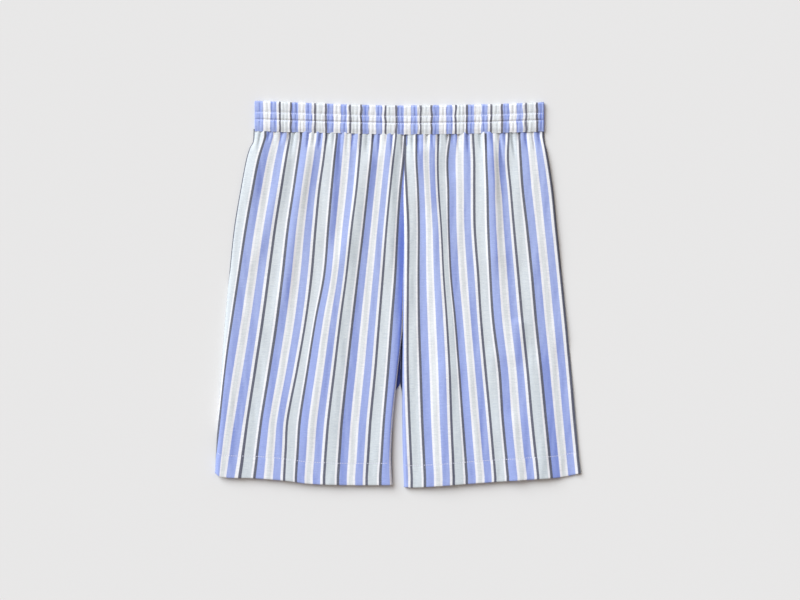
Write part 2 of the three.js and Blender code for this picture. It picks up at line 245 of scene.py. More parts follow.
# The waistband's stripes: the place of one dark line, the repeat in the gathers, and the
# least cloth coordinate, which keeps the next dark line off the band's right end.
BAND_LINE = -178.7
BAND_REPEAT = 43.9
BAND_FIRST_CLOTH = 2.2

# The folds: where the ridge of each starts and ends, how far it reaches towards -X (left)
# and +X (right), and its height. The ones with a height below 0 are troughs.
Fold = namedtuple("Fold", "x_top y_top x_end y_end left right height")
FOLDS = table(
    Fold,
    (-172, 200, -212, -60, 9, 18, 1.9),
    (-171, 216, -184, 110, 9, 10, 1.5),
    (-203, 0, -228, -262, 8, 18, 2.1),
    (-134, 190, -184, 20, 8, 9, 1.7),
    (-111, 197, -158, -70, 9, 10, 2.6),
    (-111, 212, -124, 100, 8, 9, 1.2),
    (-158, -50, -166, -262, 10, 7, 1.1),
    (-80, 197, -87, 50, 10, 7, 2.1),
    (-77, 80, -117, -215, 14, 12, 2.6),
    (-60, 60, -92, -225, 12, 14, 2.0),
    (-34, 190, -74, 10, 11, 14, 2.7),
    (-10, 197, -10, 20, 10, 7, 2.1),
    (-4, 20, -12, -262, 14, 8, 1.8),
    (12, 190, 8, -60, 6, 12, 1.5),
    (21, 192, 36, 100, 12, 15, 2.8),
    (40, 140, 64, -140, 15, 20, 2.8),
    (62, -70, 49, -270, 20, 24, 2.2),
    (82, 20, 100, -262, 8, 8, 1.4),
    (65, 206, 62, 136, 12, 12, -1.6),
    (112, 212, 118, 108, 10, 6, 1.8),
    (117, 197, 120, 10, 13, 9, 4.0),
    (134, 206, 136, 136, 9, 12, -0.8),
    (120, 70, 131, -90, 12, 18, 1.9),
    (116, -60, 127, -200, 12, 14, 1.6),
    (144, -140, 151, -290, 10, 12, 1.8),
    (150, -28, 144, -92, 11, 11, 1.5),
    (158, 190, 180, -80, 22, 14, 1.7),
    (169, -60, 182, -262, 12, 14, 1.8),
    (190, 205, 200, 20, 22, 20, 1.3),
    (214, -40, 224, -310, 27, 12, -2.7),
)
FOLD_START = 0.16
FOLD_END = 0.3
FOLD_LIMIT = 3

# The small unevenness of the fronts: its height, and its size across and along.
Rough = namedtuple("Rough", "height across along seed")
FRONT_ROUGHS = (Rough(0.6, 22, 95, 0), Rough(0.5, 8, 50, 4), Rough(0.16, 4, 16, 8))

# Heights of the cloth above the table. A pair is a span over which something sets in,
# along Y, or from an edge inwards.
FRONT_REST = 5.0
LEG_RISE = 2.2
LEG_RISE_SPAN = (40, -200)
SIDE_MEETING = 1.2
SIDE_BELOW = 0.6
INNER_MEETING = 2.4
SIDE_TO_INNER = (60, 120)
OVERLAP_EDGE = 3.9
OVERLAP_END = (-95, -130)

# How far the panels reach under the waistband. Then the height at which the fronts are
# tucked in there, how much of their relief is left, and the roll by which they come out.
TUCK = {"front": 2.5, "back": 1.0}
WAIST_TUCK = 4.8
TUCK_RELIEF = 0.4
TUCK_ROLL = 5.5
WAIST_ROUGH = Rough(0.5, 6, 1, 0)
WAIST_ROUGH_END = (5, 45)
WAIST_REACH = 75

# The hems, and the groove and the ripples that their stitches leave.
HEM_DEPTH = 27.5
HEM_RADIUS = 0.75
HEM_INSET = 0.006
HEM_TURN_ROWS = {"front": 7, "back": 5}
HEM_PUCKER = Rough(0.9, 25, 1, 0)
HEM_PUCKER_END = (1, -2)
HEM_GROOVE = 0.28
HEM_GROOVE_WIDTH = 1.1
HEM_RIPPLE = Rough(0.22, 5, 16, 12)
HEM_RIPPLE_REACH = 40
HEM_EDGE_SHARE = 0.97

# The edges of the fronts. The right front passes under the left one in the middle.
SIDE_ROLL = {"right": 4.5, "left": 2.6}
INNER_ROLL = 3.0
VALLEY_REACH = 11
TOP_VALLEY_REACH = 4
VALLEY_SPAN = (-40, 30)
TOP_VALLEY_SPAN = (90, 150)
UNDERLAP = 2.6
UNDERLAP_SPAN = (-75, -20)
UNDERLAP_END = (-100, -60)
UNDERLAP_EDGE = 3.1
UNDERLAP_EDGE_SPAN = (60, 150)
UNDERLAP_BELOW = 0.9
UNDERLAP_SLOPE = 4
SIDE_SINK = 1.2
SIDE_SINK_REACH = 90
CORNER_SINK = 1.8
CORNER_SINK_REACH = 60
CORNER_SINK_SPAN = (-150, -235)
EDGE_CROWDING = 0.3

# The backs, which lie on the table.
FLOOR_GAP = 0.08
BACK_SIDE_ROLL = 5
BACK_FORK_SPAN = (-112, -125)
BACK_REST = 0.15
BACK_RIPPLE = Rough(0.12, 9, 40, 20)
BACK_GATHER = Rough(0.25, 4, 1, 6)
BACK_GATHER_SPAN = (165, 200)
# The left back's stripes are shifted so that a dark line lies in the gap between the legs, as
# painted shade there.
BACK_STRIPE_SHIFT = {"right": 9.5, "left": -2.5}
BACK_STRIPE_REACH = 60

# How much painted shade a place gets, which deepens and darkens the cloth's colours: on
# slopes away from the sun, on the lower legs, beside the overlap in the middle, and in the fork.
SLOPE_PAINTED_SHADE = 1.9
MOST_SLOPE_PAINTED_SHADE = 0.6
LOW_PAINTED_SHADE = 0.2
LOW_PAINTED_SHADE_SPAN = (60, -180)
MOST_OVERLAP_PAINTED_SHADE = 0.6
OVERLAP_PAINTED_SHADE_REACH = (3, 9)
OVERLAP_PAINTED_SHADE_START = (-125, -50)
OVERLAP_PAINTED_SHADE_END = (20, 160)
PAINTED_FORK_SHADE = 1.9
PAINTED_FORK_SHADE_SPAN = (-142, -121)
PAINTED_FORK_SHADE_REACH = (8, 20)

# The pocket mouths, where the fronts stand back from the side seams.
POCKET_TOP = 182
POCKET_MOUTH = 160
POCKET_EASE = 1.1
POCKET_LOW_END = (-6, 10)
POCKET_HIGH_END = (-8, 2)

# The pocket bags, and the stitches.
BAG_COLUMNS = 20
BAG_ROWS = 30
BAG_WIDTH = 136
BAG_DROP = 66
BAG_BELOW_TOP = 2
BAG_SEAM = 2.5
BAG_ROUND_FROM = 0.66
BAG_OUTER_CORNER = 55
BAG_INNER_CORNER = 45
BAG_REST = 1.75
BAG_PUFF = 0.75
BAG_EDGE_SHARE = 0.08
BAG_RIPPLE = Rough(0.15, 20, 20, 30)
BAG_THICKNESS = 0.5
Stitch = namedtuple("Stitch", "length gap width lift")
HEM_STITCH = Stitch(2.7, 0.25, 0.85, 0.12)
BAND_STITCH = Stitch(2.4, 0.4, 0.75, 0.1)
STITCH_FLATNESS = 0.6
LEAST_STITCH = 0.2

# How the rows of stitches run: their points, their ends and how they wander.
HEM_STITCH_POINTS = 1200
HEM_STITCH_ENDS = (0.012, 0.985)
HEM_STITCH_LEVEL = -200
HEM_STITCH_WANDER = Rough(0.35, 30, 1, 0)
BAND_STITCH_POINTS = 1400
BAND_STITCH_ENDS = (-178, 180)
BAND_STITCH_BELOW = 0.02


def lerp(a, b, t):
    return a + (b - a) * t


def clamp(value, low=0.0, high=1.0):
    return min(max(value, low), high)


def smooth(value, low, high):
    """0 at low and 1 at high, whichever of the two is greater."""
    t = clamp((value - low) / (high - low))
    return t * t * (3 - 2 * t)


def rounded(distance, reach):
    """A quarter of an ellipse: 0 at an edge, 1 at reach and beyond."""
    t = 1 - clamp(distance / reach)
    return math.sqrt(1 - t * t)


def through(rows, at, value):
    """A smooth function through one column of a table, by another column."""
    rows = sorted(rows, key=lambda row: getattr(row, at))
    places = [getattr(row, at) for row in rows]
    values = [getattr(row, value) for row in rows]
    last = len(rows) - 1
    slopes = []
    for i in range(len(rows)):
        low, high = max(i - 1, 0), min(i + 1, last)
        slopes.append((values[high] - values[low]) / (places[high] - places[low]))

    def function(place):
        place = clamp(place, places[0], places[last])
        i = 1
        while places[i] < place:
            i += 1
        span = places[i] - places[i - 1]
        t = (place - places[i - 1]) / span
        rise = values[i] - values[i - 1]
        a = slopes[i - 1] * span - rise
        b = rise - slopes[i] * span
        return values[i - 1] + t * rise + t * (1 - t) * (a * (1 - t) + b * t)

    return function


band_top = through(BAND, "x", "top")
band_seam = through(BAND, "x", "seam")


class Leg:
    """One leg's outlines and the run of its stripes. hand is -1 for the wearer's right."""

    def __init__(self, name, hand, hem, grain, lines):
        self.name = name
        self.hand = hand
        self.side = through(OUTLINE, "y", f"{name}_side")
        self.inner = through(OUTLINE, "y", f"{name}_inner")
        self.back_inner = through(BACK_INNER, "y", name)
        self.hem = through(hem, "x", "y")
        self.at_side = through(grain, "y", "at_side")
        self.at_inner = through(grain, "y", "at_inner")
        self.lines = [(cloth, through(grain, "y", line)) for line, cloth in lines]
        self.known = {}

    def stations(self, y):
        """Pairs of place and cloth coordinate along a whole millimetre of height."""
        if y not in self.known:
            lines = [(line(y), cloth) for cloth, line in self.lines]
            if self.hand < 0:
                first = (self.side(y), lines[0][1] - self.at_side(y))
                last = (self.inner(y), lines[-1][1] + self.at_inner(y))
            else:
                first = (self.inner(y), lines[0][1] - self.at_inner(y))
                last = (self.side(y), lines[-1][1] + self.at_side(y))
            self.known[y] = [first, *lines, last]
        return self.known[y]

    def cloth_on_row(self, x, y):
        stations = self.stations(y)
        i = 1
        while i < len(stations) - 1 and stations[i][0] < x:
            i += 1
        (x0, u0), (x1, u1) = stations[i - 1], stations[i]
        return lerp(u0, u1, (x - x0) / max(x1 - x0, 0.2))

    def cloth(self, x, y):
        """The cloth coordinate across the stripes at a point of the front panel."""
        low = math.floor(y)
        value = lerp(self.cloth_on_row(x, low), self.cloth_on_row(x, low + 1), y - low)
        if self.hand < 0:
            inward = x - self.side(y)
            pinch = smooth(inward, *SIDE_PINCH_START) * (1 - smooth(inward, *SIDE_PINCH_END))
            value += SIDE_PINCH * pinch * smooth(y, *SIDE_PINCH_SPAN)
        return value + pinch_shift(x, y)


def pinch_shift(x, y):
    """How far folds shift the stripes at a point."""
    shift = 0
    for pinch in PINCHES:
        along = (pinch.y_top - y) / (pinch.y_top - pinch.y_end)
        if 0 < along < 1:
            across = (x - lerp(pinch.x_top, pinch.x_end, along)) / pinch.reach
            shift += pinch.amount * math.sin(math.pi * along) * across * math.exp(-(across**2))
    return shift


def dark_lines(first, last):
    """Names and cloth coordinates of dark lines, such as a1, b1, a2."""
    names = []
    for number in range(6):
        names.append((f"a{number}", number * STRIPE_REPEAT))
        names.append((f"b{number}", number * STRIPE_REPEAT + SECOND_LINE))
    order = [name for name, _ in names]
    return names[order.index(first) : order.index(last) + 1]


RIGHT = Leg("right", -1, RIGHT_HEM, RIGHT_GRAIN, dark_lines("a1", "a5"))
LEFT = Leg("left", 1, LEFT_HEM, LEFT_GRAIN, dark_lines("b0", "b4"))


def uneven(*values):
    """A smooth random value from about -1 to 1 at a point. Plain numbers in it are seeds."""
    return noise.noise(Vector((*values, 0, 0)[:3]))


def roughness(rough, x, along, seed=0):
    """The height of an unevenness at a place. The seed is added to its own."""
    return rough.height * uneven(x / rough.across, along / rough.along, seed + rough.seed)


def fold_height(x, y):
    height = 0
    for fold in FOLDS:
        along = (fold.y_top - y) / (fold.y_top - fold.y_end)
        if not 0 < along < 1:
            continue
        across = x - lerp(fold.x_top, fold.x_end, along)
        reach = fold.left if across < 0 else fold.right
        if abs(across) > FOLD_LIMIT * reach:
            continue
        strength = smooth(along, 0, FOLD_START) * smooth(1 - along, 0, FOLD_END)
        height += fold.height * strength * math.exp(-((across / reach) ** 2))
    return height


# The short creases that run down from the waistband. They lean outwards.
Crease = namedtuple("Crease", "x lean length width depth")
CREASES_FROM = -183
CREASES_WIDTH = 372
CREASE_SPACING = 8.2
CREASE_WANDER = 0.55
CREASE_LENGTH = 14
CREASE_MORE_LENGTH = 30
CREASE_WIDTH = 1.45
CREASE_DEPTH = 2.7
CREASE_LEAN = 1 / 1100
CREASE_FADE_FROM = 0.25


def waist_creases():
    creases = []
    for number in range(int(CREASES_WIDTH / CREASE_SPACING)):
        wander = uneven(number * 1.7, 3.1)
        x = CREASES_FROM + CREASE_SPACING * (number + 0.5 + CREASE_WANDER * wander)
        length = CREASE_LENGTH + CREASE_MORE_LENGTH * max(0, uneven(number * 2.3, 9.4) + 0.35)
        width = CREASE_WIDTH + 0.8 * uneven(number * 1.1, 5.2)
        depth = CREASE_DEPTH * (0.75 + 0.7 * uneven(number * 3.7, 1.6))
        creases.append(Crease(x, x * CREASE_LEAN, length, width, depth))
    return creases


def crease_height(creases, x, below):
    height = 0
    for crease in creases:
        across = x - (crease.x + crease.lean * below)
        if abs(across) > FOLD_LIMIT * crease.width or below > crease.length:
            continue
        fade = 1 - smooth(below, CREASE_FADE_FROM * crease.length, crease.length)
        height -= crease.depth * fade * math.exp(-((across / crease.width) ** 2))
    return height


def inner_rise(leg, x, y):
    """0 to 1 from a front's inner edge, with the height of that edge."""
    distance = abs(leg.inner(y) - x)
    if leg.hand > 0:
        edge = lerp(OVERLAP_EDGE, INNER_MEETING, smooth(y, *OVERLAP_END))
        return rounded(distance, INNER_ROLL), edge
    past = (x - leg.inner(y)) * smooth(y, *UNDERLAP_END)
    valley = smooth(y, *VALLEY_SPAN)
    reach = lerp(VALLEY_REACH, TOP_VALLEY_REACH, smooth(y, *TOP_VALLEY_SPAN))
    rise = lerp(rounded(distance, INNER_ROLL), smooth(distance, -2, reach), valley)
    edge = lerp(INNER_MEETING, UNDERLAP_EDGE, smooth(y, *UNDERLAP_EDGE_SPAN))
    return (0 if past > 0 else rise), edge


def front_relief(leg, x, y, creases, settings):
    """The folds, creases and unevenness of a front panel."""
    relief = fold_height(x, y) * settings.fold_scale
    for rough in FRONT_ROUGHS:
        relief += roughness(rough, x, y, leg.hand)
    above_hem = y - leg.hem(x)
    if above_hem < HEM_RIPPLE_REACH:
        near_hem = smooth(HEM_RIPPLE_REACH - above_hem, 0, HEM_RIPPLE_REACH / 2)
        relief += roughness(HEM_RIPPLE, x, above_hem, leg.hand) * near_hem
    relief -= HEM_GROOVE * math.exp(-(((above_hem - HEM_DEPTH) / HEM_GROOVE_WIDTH) ** 2))
    below = band_seam(x) - y
    if below < WAIST_REACH:
        relief += crease_height(creases, x, max(below, 0)) * settings.gather_scale
        near_waist = 1 - smooth(below, *WAIST_ROUGH_END)
        relief += roughness(WAIST_ROUGH, x, 2.2, leg.hand) * near_waist
    return relief


def front_height(leg, x, y, creases, settings):
    """The upper side of a front panel."""
    side_gap = abs(leg.side(y) - x)
    side_rise = rounded(side_gap, SIDE_ROLL[leg.name])
    rise, inner_edge = inner_rise(leg, x, y)
    relief = front_relief(leg, x, y, creases, settings)
    full = FRONT_REST + LEG_RISE * smooth(y, *LEG_RISE_SPAN) + relief
    full -= SIDE_SINK * (1 - smooth(side_gap, 0, SIDE_SINK_REACH))
    if leg.hand > 0:
        near_corner = 1 - smooth(x - leg.inner(y), 0, CORNER_SINK_REACH)
        full -= CORNER_SINK * near_corner * smooth(y, *CORNER_SINK_SPAN)
    edge = lerp(SIDE_MEETING, inner_edge, smooth(side_gap, *SIDE_TO_INNER))
    height = edge + (full - edge) * side_rise * rise
    tuck = WAIST_TUCK + TUCK_RELIEF * relief
    if leg.hand < 0:
        tuck -= UNDERLAP_BELOW * smooth(x, leg.inner(y) - UNDERLAP_SLOPE, leg.inner(y))
    below = band_seam(x) - y
    height = lerp(tuck, height, rounded(below + TUCK["front"], TUCK_ROLL))
    return height * lerp(band_flatness(x), 1, smooth(below, 0, BAND_END_FADE))


def band_flatness(x):
    """The share of its height that the waistband keeps towards its ends."""
    from_end = min(x - BAND_RIGHT_END, BAND_LEFT_END - x)
    return lerp(BAND_END_SHARE, 1, smooth(from_end, 0, BAND_END_REACH))


def pocket_gap(y):
    """1 along a pocket's mouth, and 0 beyond its ends."""
    above = smooth(y - (POCKET_TOP - POCKET_MOUTH), *POCKET_LOW_END)
    return above * (1 - smooth(y - POCKET_TOP, *POCKET_HIGH_END))


def panel_edges(leg, y, is_front):
    """The two edges of a panel at a height, from the wearer's right to left."""
    side = leg.side(y)
    if is_front:
        side -= leg.hand * POCKET_EASE * pocket_gap(y)
        inner = leg.inner(y)
        if leg.hand < 0:
            inner += UNDERLAP * smooth(y, *UNDERLAP_SPAN)
    else:
        inner = leg.back_inner(y)
    return (side, inner) if leg.hand < 0 else (inner, side)


def panel_point(leg, is_front, across, down, tuck):
    """A point in plan: down is 0 under the waistband and 1 at the hem edge."""
    y = 0
    x = 0
    for _ in range(4):
        x = lerp(*panel_edges(leg, y, is_front), across)
        y = lerp(band_seam(x) + tuck, leg.hem(x), down)
    return lerp(*panel_edges(leg, y, is_front), across), y


def put(name, data):
    """Puts an object with this data into the scene."""
    obj = bpy.data.objects.new(name, data)
    bpy.context.collection.objects.link(obj)
    return obj


def mesh_object(name, bm, material):
    """An object in the scene with the form that bm holds."""
    mesh = bpy.data.meshes.new(name)
    bm.to_mesh(mesh)
    bm.free()
    mesh.materials.append(material)
    return put(name, mesh)


def grid_piece(name, columns, rows, place, material, turned=False, hollow_at=None):
    """A sheet from a grid whose vertices are moved by place(i, j), which returns the
    point and the cloth coordinates, all in millimetres. A float attribute on its vertices
    holds painted shade, which deepens the colours, and above 1 darkens them further as
    painted deep shade."""
    bm = bmesh.new()
    bmesh.ops.create_grid(bm, x_segments=columns, y_segments=rows, size=0.5)
    cloth = {}
    for vertex in bm.verts:
        i = round((vertex.co.x + 0.5) * columns)
        j = round((0.5 - vertex.co.y) * rows)
        point, coordinates = place(i, j)
        vertex.co = Vector(point) * MM
        cloth[vertex] = Vector(coordinates) * MM
    layer = bm.loops.layers.uv.new("cloth")
    for face in bm.faces:
        face.smooth = True
        for loop in face.loops:
            loop[layer].uv = cloth[loop.vert]
    if turned:
        bmesh.ops.reverse_faces(bm, faces=bm.faces)
    bm.normal_update()
    hollow = bm.verts.layers.float.new("hollow")
    for vertex in bm.verts:
        # Painted shade on slopes that face away from the sun, with the piece's own painted
        # shade.
        value = clamp(SLOPE_PAINTED_SHADE * vertex.normal.x, 0, MOST_SLOPE_PAINTED_SHADE)
        own = hollow_at(vertex.co.x / MM, vertex.co.y / MM) if hollow_at else 0
        vertex[hollow] = max(clamp(value + own), own)
    return mesh_object(name, bm, material)


def thicken(obj, thickness):
    """Gives a sheet its thickness on the inner side."""
    modifier = obj.modifiers.new("cloth thickness", "SOLIDIFY")
    modifier.thickness = thickness * MM
    modifier.offset = -1
    modifier.use_even_offset = False
    return obj


def hem_rows(body_rows, turn_rows, roll_rows=4):
    """For each row: the part of the panel, and how far along it."""
    rows = [("body", j / body_rows) for j in range(body_rows + 1)]
    rows += [("roll", (j + 1) / roll_rows) for j in range(roll_rows)]
    rows += [("turn", (j + 1) / turn_rows) for j in range(turn_rows)]
    return rows


def hem_turn(leg, is_front, part, across, along, height_at):
    """Carries a panel's last row round the hem edge and back up inside, below the front
    panels and above the back panels."""
    up = -1 if is_front else 1
    x, edge = panel_point(leg, is_front, across, 1, 0)
    if part == "roll":
        angle = along * math.pi
        height = height_at(x, edge + HEM_RADIUS) + up * HEM_RADIUS * (1 - math.cos(angle))
        y = edge + HEM_RADIUS * (1 - math.sin(angle))
        return (x, y, height), (leg.cloth(x, edge), edge - 2 * along)
    y = edge + HEM_RADIUS + along * HEM_DEPTH
    x = lerp(*panel_edges(leg, y, is_front), lerp(HEM_INSET, 1 - HEM_INSET, across))
    height = height_at(x, y) + up * 2 * HEM_RADIUS
    return (x, y, height), (leg.cloth(x, edge), edge - 2 - along * HEM_DEPTH)


def panel(leg, side, cells, functions, material):
    """A panel with its hem turned up inside. side is "front" or "back"."""
    is_front = side == "front"
    columns, body_rows = cells
    height_at, cloth_at, hollow_at = functions
    rows = hem_rows(body_rows, HEM_TURN_ROWS[side])

    def place(i, j):
        part, along = rows[j]
        across = i / columns
        across = lerp(across, smooth(across, 0, 1), EDGE_CROWDING)
        if part != "body":
            return hem_turn(leg, is_front, part, across, along, height_at)
        x, y = panel_point(leg, is_front, across, along, TUCK[side])
        y += HEM_RADIUS * smooth(along, HEM_EDGE_SHARE, 1)
        return (x, y, height_at(x, y)), (cloth_at(x, y), y)

    name = f"cloth_{side}_{leg.name}"
    last_row = len(rows) - 1
    return grid_piece(name, columns, last_row, place, material, not is_front, hollow_at)


def front_panel(leg, settings, material):
    creases = waist_creases()

    def height_at(x, y):
        return front_height(leg, x, y, creases, settings)

    def cloth_at(x, y):
        in_hem = smooth(y - leg.hem(x) - HEM_DEPTH, *HEM_PUCKER_END)
        return leg.cloth(x, y) + roughness(HEM_PUCKER, x, 7.7, leg.hand) * in_hem

    def hollow_at(x, y):
        # Painted shade: darker towards the hems, and on the right front beside the overlap and
        # between the legs.
        low = LOW_PAINTED_SHADE * smooth(y, *LOW_PAINTED_SHADE_SPAN)
        return low + (overlap_painted_shade(x, y) if leg is RIGHT else 0)

    cells = (settings.front_columns, settings.front_rows)
    obj = panel(leg, "front", cells, (height_at, cloth_at, hollow_at), material)
    return thicken(obj, settings.thickness)


def overlap_painted_shade(x, y):
    """Painted shade on the right front, under the left front's overlapping edge and between the
    legs.
    """
    beside = 1 - smooth(LEFT.inner(y) - x, *OVERLAP_PAINTED_SHADE_REACH)
    along = smooth(y, *OVERLAP_PAINTED_SHADE_START) * (1 - smooth(y, *OVERLAP_PAINTED_SHADE_END))
    return MOST_OVERLAP_PAINTED_SHADE * beside * along


def back_height(leg, x, y):
    """The outer side of a back panel, which lies on the table."""
    side_rise = rounded(abs(leg.side(y) - x), BACK_SIDE_ROLL)
    open_leg = smooth(y, *BACK_FORK_SPAN)
    inner_roll = lerp(1, rounded(abs(leg.back_inner(y) - x), INNER_ROLL), open_leg)
    ripple = BACK_RIPPLE.height + roughness(BACK_RIPPLE, x, y, leg.hand)
    gather = BACK_GATHER.height + roughness(BACK_GATHER, x, 1.3)
    rest = max(BACK_REST + ripple + gather * smooth(y, *BACK_GATHER_SPAN), FLOOR_GAP)
    return lerp(INNER_MEETING, lerp(SIDE_MEETING - SIDE_BELOW, rest, side_rise), inner_roll)


def back_panel(leg, settings, material):
    def height_at(x, y):
        return back_height(leg, x, y)

    def cloth_at(x, y):
        near_side = 1 - smooth(abs(leg.side(y) - x), 0, BACK_STRIPE_REACH)
        to_front = leg.cloth(leg.side(y), y) - leg.side(y)
        return x + lerp(BACK_STRIPE_SHIFT[leg.name], to_front, near_side)

    def hollow_at(x, y):
        # Painted deep shade on the back panels in the fork between the legs.
        inside = 1 - smooth(abs(x), *PAINTED_FORK_SHADE_REACH)
        return PAINTED_FORK_SHADE * smooth(y, *PAINTED_FORK_SHADE_SPAN) * inside

    cells = (settings.back_columns, settings.back_rows)
    obj = panel(leg, "back", cells, (height_at, cloth_at, hollow_at), material)
    return thicken(obj, settings.thickness)


# The waistband: its rows of stitches as shares of its height from the top, and how deep
# and how wide each side of their grooves is.
BandRow = namedtuple("BandRow", "share above below depth")
BAND_ROWS = (
    BandRow(0.37, 3.4, 1.3, 0.75),
    BandRow(0.61, 1.5, 1.5, 1.25),
)
GROOVE_SHARPNESS = 1.6

# Its heights, and its rounding along the edges and at the ends.
BAND_FULL = 6.2
BAND_EDGE = 4.7
BAND_TOP_EDGE = 3.2
BAND_PRESSED = 0.5
BAND_TOP_ROLL = 2.6
BAND_LOWER_ROLL = (-2, 7)
BAND_RIGHT_END = -179.8
BAND_LEFT_END = 181.2
BAND_END_ROLL = {"front": 1.2, "back": 4.5}
BAND_END_LEVEL = {"front": 4.4, "back": 3.2}
BAND_END_BULGE = 1 / 6
BAND_END_SHARE = 0.78
BAND_END_REACH = 15
BAND_END_FADE = 40

# Its cloth goes on inside the band, from the top down to the seam, at these heights.
BAND_INSIDE_ROWS = 6
BAND_INSIDE = {"front": (3.5, 3.6), "back": (3.0, 2.9)}
BAND_INSIDE_TOP = 0.6
BAND_INSIDE_END = 1
BAND_THICKNESS = 0.4
NARROW_CELL = 0.9

# Its gathers: ribs, which are lower beside the stitches, and finer unevenness.
BAND_SEED = {"front": 1, "back": 11}
BAND_RIB_PITCH = 5.1
BAND_RIB_HEIGHT = 0.6
BAND_RIB_SHARPNESS = 0.8
BAND_RIB_MIDDLE = 0.6
BAND_DRIFT = Rough(1.6, 30, 1, 0)
BAND_PHASE = Rough(0.35, 11, 1, 2)
BAND_STRENGTH = Rough(0.8, 9, 1, 5)
BAND_FINE = Rough(0.3, 2.3, 1, 7)
BAND_PINCH = 0.55
BAND_PINCH_WIDTH = 1.2
BAND_EDGE_RIBS = 0.5
BAND_WIGGLE = Rough(0.9, 7, 0.25, 9)
BAND_SCALLOP = Rough(0.6, 4.2, 1, 0)
BAND_SCALLOP_SPAN = (0.9, 1)
BAND_RAGGED = Rough(0.7, 2.6, 1, 0)
BAND_RAGGED_SPAN = (0.12, 0)
# Painted shade on the waistband: fine streaks of it, and less of it on the tops of the ribs than
# in their valleys.
BAND_PAINTED_CREVICE_SHADE = Rough(0.85, 1.1, 30, 12)
BAND_RIB_PAINTED_SHADE = 0.4


def band_ribs(x, share, seed):
    """The fine gathers of the waistband, which shift a little from channel to channel."""
    channel = sum(share > row.share for row in BAND_ROWS)
    phase = (x + roughness(BAND_DRIFT, x, channel * 3.7, seed)) / BAND_RIB_PITCH
    phase += roughness(BAND_PHASE, x, channel * 1.9, seed)
    wave = abs(math.sin(math.pi * phase)) ** BAND_RIB_SHARPNESS - BAND_RIB_MIDDLE
    strength = BAND_STRENGTH.height + roughness(BAND_STRENGTH, x, channel * 2.3, seed)
    fine = roughness(BAND_FINE, x, share * 2.5 + channel * 5, seed)
    return BAND_RIB_HEIGHT * strength * wave + fine


def band_puff(share, height):
    """How far the channels stand under full height, from their rows of stitches."""
    drop = 0
    for row in BAND_ROWS:
        along = (share - row.share) * height
        width = row.above if along < 0 else row.below
        drop += row.depth * math.exp(-((along / width) ** 2) * GROOVE_SHARPNESS)
    return drop


def band_surface(x, share, seed, settings):
    """The outer side of a waistband half, above its inner side."""
    height = band_top(x) - band_seam(x)
    drop = band_puff(share, height)
    pinch = 0
    for row in BAND_ROWS:
        pinch += math.exp(-(((share - row.share) * height / BAND_PINCH_WIDTH) ** 2))
    ribs = band_ribs(x, share, seed) * settings.gather_scale * (1 - BAND_PINCH * min(pinch, 1))
    top_round = rounded(share * height, BAND_TOP_ROLL)
    bottom_round = smooth((1 - share) * height, *BAND_LOWER_ROLL)
    full = BAND_FULL - drop + ribs
    level = lerp(BAND_TOP_EDGE, full, top_round)
    return lerp(BAND_EDGE + BAND_EDGE_RIBS * ribs, level, bottom_round)


def waistband_half(side, settings, material):
    """The front or the back half. The back one is made of fewer cells."""
    is_front = side == "front"
    columns = settings.band_columns if is_front else settings.band_columns // 2
    rows = settings.band_rows if is_front else settings.band_rows // 2
    seed = BAND_SEED[side]

    def place(i, j):
        across = clamp((i - NARROW_CELL) / (columns - 2 * NARROW_CELL))
        x = lerp(BAND_RIGHT_END, BAND_LEFT_END, across)
        from_end = min(x - BAND_RIGHT_END, BAND_LEFT_END - x)
        end_round = rounded(from_end, BAND_END_ROLL[side])
        flatness = band_flatness(x)
        share = clamp((j - NARROW_CELL) / (rows - NARROW_CELL))
        inside = max(j - rows, 0) / BAND_INSIDE_ROWS
        outer_share = 1 - share
        height = band_top(x) - band_seam(x)
        wiggle = roughness(BAND_WIGGLE, x, outer_share, seed)
        scallop = roughness(BAND_SCALLOP, x, 4.4, seed) * smooth(outer_share, *BAND_SCALLOP_SPAN)
        ragged = roughness(BAND_RAGGED, x, 8.4, seed) * smooth(outer_share, *BAND_RAGGED_SPAN)
        y = band_top(x) - outer_share * height - scallop + ragged
        cloth_x = STRIPE_REPEAT * (x + wiggle - BAND_LINE) / BAND_REPEAT
        cloth_x = max(cloth_x, BAND_FIRST_CLOTH)
        level = band_surface(x, outer_share, seed, settings)
        bulge = BAND_END_BULGE * (1 - end_round) * (level - BAND_EDGE)
        x += bulge if i > columns / 2 else -bulge
        outer = level if is_front else BAND_FULL + BAND_PRESSED - level
        z = lerp(BAND_END_LEVEL[side], outer, end_round)
        cloth_y = y
        if inside:
            y = lerp(band_top(x) - BAND_INSIDE_TOP, band_seam(x) + BAND_INSIDE_END, inside)
            z = lerp(*BAND_INSIDE[side], inside)
            cloth_y = band_top(x) + inside * height
        z = max(z * flatness, FLOOR_GAP)
        return (x, y, z), (cloth_x, cloth_y)

    def hollow_at(x, y):
        # Painted shade: fine streaks, and more in the valleys of the ribs than on their tops.
        share = (band_top(x) - y) / (band_top(x) - band_seam(x))
        channel = sum(share > row.share for row in BAND_ROWS)
        along = y / BAND_PAINTED_CREVICE_SHADE.along + channel * 4
        fine = uneven(x / BAND_PAINTED_CREVICE_SHADE.across, along, seed + BAND_PAINTED_CREVICE_SHADE.seed)
        return BAND_PAINTED_CREVICE_SHADE.height * clamp(fine) - BAND_RIB_PAINTED_SHADE * band_ribs(x, share, seed)

    name = f"cloth_waistband_{side}"
    rows_in_all = rows + BAND_INSIDE_ROWS
    obj = grid_piece(
        name, columns, rows_in_all, place, material, turned=is_front, hollow_at=hollow_at
    )
    return thicken(obj, BAND_THICKNESS)


